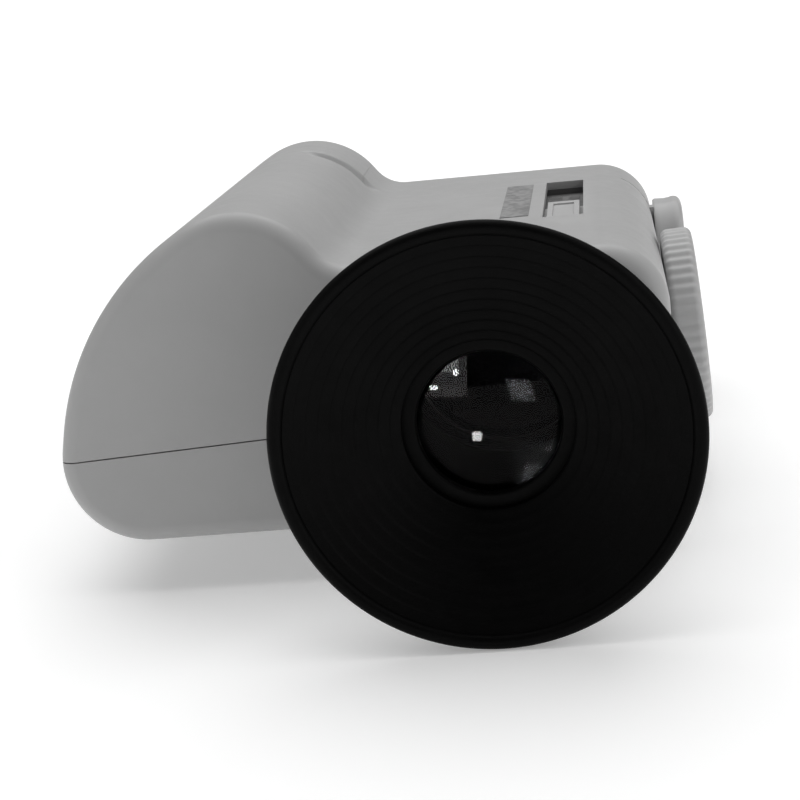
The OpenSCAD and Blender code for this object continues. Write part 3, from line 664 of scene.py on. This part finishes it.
# ---- carrier grip ----
GRIP_NOSE = 12.0
NOSE_STEPS = 12
GRIP_EDGE = 1.8
# Waist of the block towards the housing: distance from its inner face, inset of its outline
GRIP_WAIST = [(0, 0.6), (0.5, 0.25), (1.6, 0.3), (3.0, 0.34), (4.2, 0.22), (4.9, 0.03)]


def carrier_grip():
    """Block with a rounded front, soft outer edges and a raised outer lip."""
    (x0, y0, z0), (x1, y1, z1) = box_mm("carrier_grip")

    def nose(start, z):
        turns = [math.radians(start + 90 * k / NOSE_STEPS) for k in range(NOSE_STEPS + 1)]
        return [(y0 + GRIP_NOSE + GRIP_NOSE * math.cos(a), z + GRIP_NOSE * math.sin(a)) for a in turns]

    outline = nose(180, z0 + GRIP_NOSE) + [(y1, z0), (y1, z1)] + nose(90, z1 - GRIP_NOSE)
    cy, cz = (y0 + y1) / 2, (z0 + z1) / 2

    def ring_at(x, d):
        fy, fz = 1 - d / ((y1 - y0) / 2), 1 - d / ((z1 - z0) / 2)
        return [(x, cy + (y - cy) * fy, cz + (z - cz) * fz) for y, z in outline]

    rings = [ring_at(x0 + x, d) for x, d in GRIP_WAIST]
    for a in quarter(ROUND_STEPS):
        rings.append(ring_at(x1 - GRIP_EDGE + GRIP_EDGE * math.sin(a), GRIP_EDGE * (1 - math.cos(a))))
    return loft("carrier_grip_block", rings)


grip = carrier_grip()
soften(grip, 0, 45.0)
finish_piece(grip, GRIP, "carrier", "carrier_grip")


# ---- switch thumb piece ----
FLANGE_W = 2.6
FLANGE_H = 0.7
RECESS_RIM = 1.3
RECESS_DEPTH = 0.45
THUMB_BEVEL = 0.12


def thumb():
    """Raised pad with a shallow recess on a flat flange."""
    (x0, y0, z0), (x1, y1, z1) = box_mm("switch_slider")
    pad0, pad1 = x0 + FLANGE_W, x1 - FLANGE_W
    obj = block("switch_thumb", (pad0, y0 + 1, z0 + 0.2), (pad1, y1 - 1.6, z1))
    combine(obj, block("flange", (x0, y0, z0), (x1, y1, z0 + FLANGE_H)), "UNION")
    low = (pad0 + RECESS_RIM, y0 + 4, z1 - RECESS_DEPTH)
    combine(obj, block("recess", low, (pad1 - RECESS_RIM, y1 - 4.6, z1 + 1)), "DIFFERENCE")
    soften(obj, THUMB_BEVEL)
    return obj


finish_piece(thumb(), THUMB, "switch", "switch_slider")


# ---- switch board with a raised rear end that closes the slot ----
RISE_GAP = 0.03
RISE_SIDE = 0.5
CEILING_GAP = 0.02
SCREW_HEAD_R = 1.9
SCREW_HOLE_R = 1.0
PLATE_BEVEL = 0.05


def board_plate():
    """Laminate board with its two screw holes."""
    (x0, y0, z0), (x1, y1, z1) = box_mm("switch_board")
    (sx, front, _), (_, rear, _) = box_mm("board_screws")
    obj = block("switch_board_plate", (x0, y0, z0), (x1, y1, z1))
    low = (SLOT[0] - RISE_SIDE, SLOT[3] + RISE_GAP, z1 - 0.5)
    combine(obj, block("rise", low, (SLOT[2] + RISE_SIDE, y1, TOP_Z - WALL - CEILING_GAP)), "UNION")
    for y in (front + SCREW_HEAD_R, rear - SCREW_HEAD_R):
        hole = cylinder_along("hole", "Z", (sx + SCREW_HEAD_R, y, z0 - 1), SCREW_HOLE_R, 5, 32)
        combine(obj, hole, "DIFFERENCE")
    soften(obj, PLATE_BEVEL)
    return obj


finish_piece(board_plate(), BOARD, "housing", "switch_board")


# ---- legend patch ----
patch = block("legend_patch", *box_mm("legend_plate"))
soften(patch, PLATE_BEVEL)
finish_piece(patch, LEGEND, "housing", "legend_plate")


# ---- materials for the CAD nodes that stay ----
KEPT = {
    "case_screws": STEEL, "barrel_guide": DARK, "eyepiece_barrel": DARK, "field_retainer": DARK,
    "focus_rack": DARK, "focus_shaft": STEEL, "focus_pinion": BRASS, "shaft_clip": STEEL,
    "wheel_bearing": PLASTIC, "shaft_bracket": DARK, "bracket_screws": STEEL, "gate_frame": DARK,
    "gate_screws": STEEL, "slide_carrier": PLASTIC, "slide_springs": STEEL, "diffuser": WHITE,
    "lamp_socket": DARK, "socket_screw": STEEL, "bulb_base": BRASS, "bulb_glass": BULB,
    "reflector": WHITE, "lamp_contacts": BRASS, "battery_tube": DARK, "cell_front": SLEEVE,
    "cell_rear": SLEEVE, "front_contact": BRASS, "battery_spring": STEEL, "door_contact": BRASS,
    "return_clip": BRASS, "switch_wiper": BRASS, "switch_tracks": TRACK,
    "board_screws": STEEL, "lead_switch": RED, "lead_lamp": RED, "lead_return": BLACK,
}
for node_name, material in KEPT.items():
    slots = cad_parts[node_name].data.materials
    slots.clear()
    slots.append(material)


# ---- floor ----
# The viewer rests on the rim of its cup and on its rear bottom edge: y, z
REST_FRONT = (RIM_Y, AXIS_Z - CUP_R)
REST_REAR = (REAR_Y - EDGE, 0.0)
FLOOR_SLOPE = (REST_REAR[1] - REST_FRONT[1]) / (REST_REAR[0] - REST_FRONT[0])
FLOOR_GAP = 0.2
FLAT_R = 2500.0
FLOOR_R = 9000.0
FAR_Z = 700.0
FLOOR_SIDES = 96
FLAT_RINGS = 4
RISING_RINGS = 10
FLOOR_TONE = 0.9
FLOOR_GLOW = 0.25


def floor_height(y):
    return REST_FRONT[1] + FLOOR_SLOPE * (y - REST_FRONT[0]) - FLOOR_GAP


def floor_mesh():
    """Flat under the object, rising gently far away so that no horizon shows."""
    radii = [FLAT_R * i / FLAT_RINGS for i in range(1, FLAT_RINGS + 1)]
    radii += [FLAT_R + (FLOOR_R - FLAT_R) * i / RISING_RINGS for i in range(1, RISING_RINGS + 1)]
    verts = [(0, 0, floor_height(0))]
    faces = []
    for i, r in enumerate(radii):
        t = max(0.0, (r - FLAT_R) / (FLOOR_R - FLAT_R))
        t = t * t * (3 - 2 * t)
        for k in range(FLOOR_SIDES):
            x = r * math.cos(2 * math.pi * k / FLOOR_SIDES)
            y = r * math.sin(2 * math.pi * k / FLOOR_SIDES)
            verts.append((x, y, floor_height(y) * (1 - t) + FAR_Z * t))
        now, last = 1 + i * FLOOR_SIDES, 1 + (i - 1) * FLOOR_SIDES
        for k in range(FLOOR_SIDES):
            n = (k + 1) % FLOOR_SIDES
            faces.append((last + k, now + k, now + n, last + n) if i else (0, now + k, now + n))
    return new_object("floor", verts, faces)


ground = floor_mesh()
floor_mat, _, _, floor_bsdf = tree("pale_floor")
floor_bsdf.inputs["Base Color"].default_value = (FLOOR_TONE, FLOOR_TONE, FLOOR_TONE, 1)
floor_bsdf.inputs["Roughness"].default_value = 0.9
floor_bsdf.inputs["Emission Color"].default_value = (1, 1, 1, 1)
floor_bsdf.inputs["Emission Strength"].default_value = FLOOR_GLOW
ground.data.materials.append(floor_mat)


# ---- camera ----
scene = bpy.context.scene
CAMERA_AT = (26.346, -500.049, 124.015)
CAMERA_RIGHT = (0.991317, 0.084312, -0.100911)
CAMERA_DOWN = (-0.079397, -0.227958, -0.970429)
CAMERA_AHEAD = (-0.104822, 0.970014, -0.219284)
FOCAL_LENGTH = 94.95
SENSOR_WIDTH = 36.0
cam_data = bpy.data.cameras.new("camera")
cam_data.sensor_width = SENSOR_WIDTH
cam_data.lens = FOCAL_LENGTH
cam_data.clip_start = 0.01
cam_data.clip_end = 50.0
camera = bpy.data.objects.new("camera", cam_data)
axes = Matrix((CAMERA_RIGHT, [-v for v in CAMERA_DOWN], [-v for v in CAMERA_AHEAD])).transposed()
camera.matrix_world = Matrix.Translation(Vector(CAMERA_AT) * MM) @ axes.to_4x4()
scene.collection.objects.link(camera)
scene.camera = camera


# ---- light ----
WORLD_LIGHT = 0.02


def sun(name, energy, spread, toward):
    """Very wide distant light, like a large softbox far away."""
    data = bpy.data.lights.new(name, "SUN")
    data.energy = energy
    data.angle = math.radians(spread)
    light = bpy.data.objects.new(name, data)
    light.rotation_euler = Vector(toward).to_track_quat("-Z", "Y").to_euler()
    scene.collection.objects.link(light)


sun("overhead", 2.4, 75, (0.05, -0.42, -1.0))
sun("left_fill", 0.5, 60, (1.0, 0.35, -0.6))
sun("right_fill", 0.95, 60, (-1.0, 0.35, -0.6))

lit_glass = bpy.data.collections.new("lit_glass")
lit_glass.objects.link(eye_glass)


def glint(name, at, size, radiance):
    """Small area light that only the eye lens receives, for highlights on the glass."""
    data = bpy.data.lights.new(name, "AREA")
    data.shape = "RECTANGLE"
    data.size, data.size_y = size[0] * MM, size[1] * MM
    data.energy = radiance * math.pi * data.size * data.size_y
    light = bpy.data.objects.new(name, data)
    place = Vector(at) * MM
    aim = (Vector((0, SEAT_Y, AXIS_Z)) * MM - place).to_track_quat("-Z", "Y")
    light.matrix_world = Matrix.Translation(place) @ aim.to_matrix().to_4x4()
    scene.collection.objects.link(light)
    light.light_linking.receiver_collection = lit_glass


# Name, place, width and height in millimetres, radiance
glint("window", (-680, -1500, 320), (740, 590), 5.5)
glint("window_top", (-560, -1490, 440), (260, 200), 24)
glint("window_pane_a", (-450, -1480, 330), (70, 80), 150)
glint("window_pane_b", (-776, -1480, 150), (110, 60), 150)
glint("window_pane_c", (-700, -1480, 400), (40, 30), 150)
glint("spot", (-9.3, -136.5, 11.6), (5.0, 5.0), 130)

world = bpy.data.worlds.new("studio")
world.use_nodes = True
backdrop = world.node_tree.nodes["Background"]
backdrop.inputs["Color"].default_value = (1, 1, 1, 1)
backdrop.inputs["Strength"].default_value = WORLD_LIGHT
scene.world = world
scene.view_settings.view_transform = "Standard"
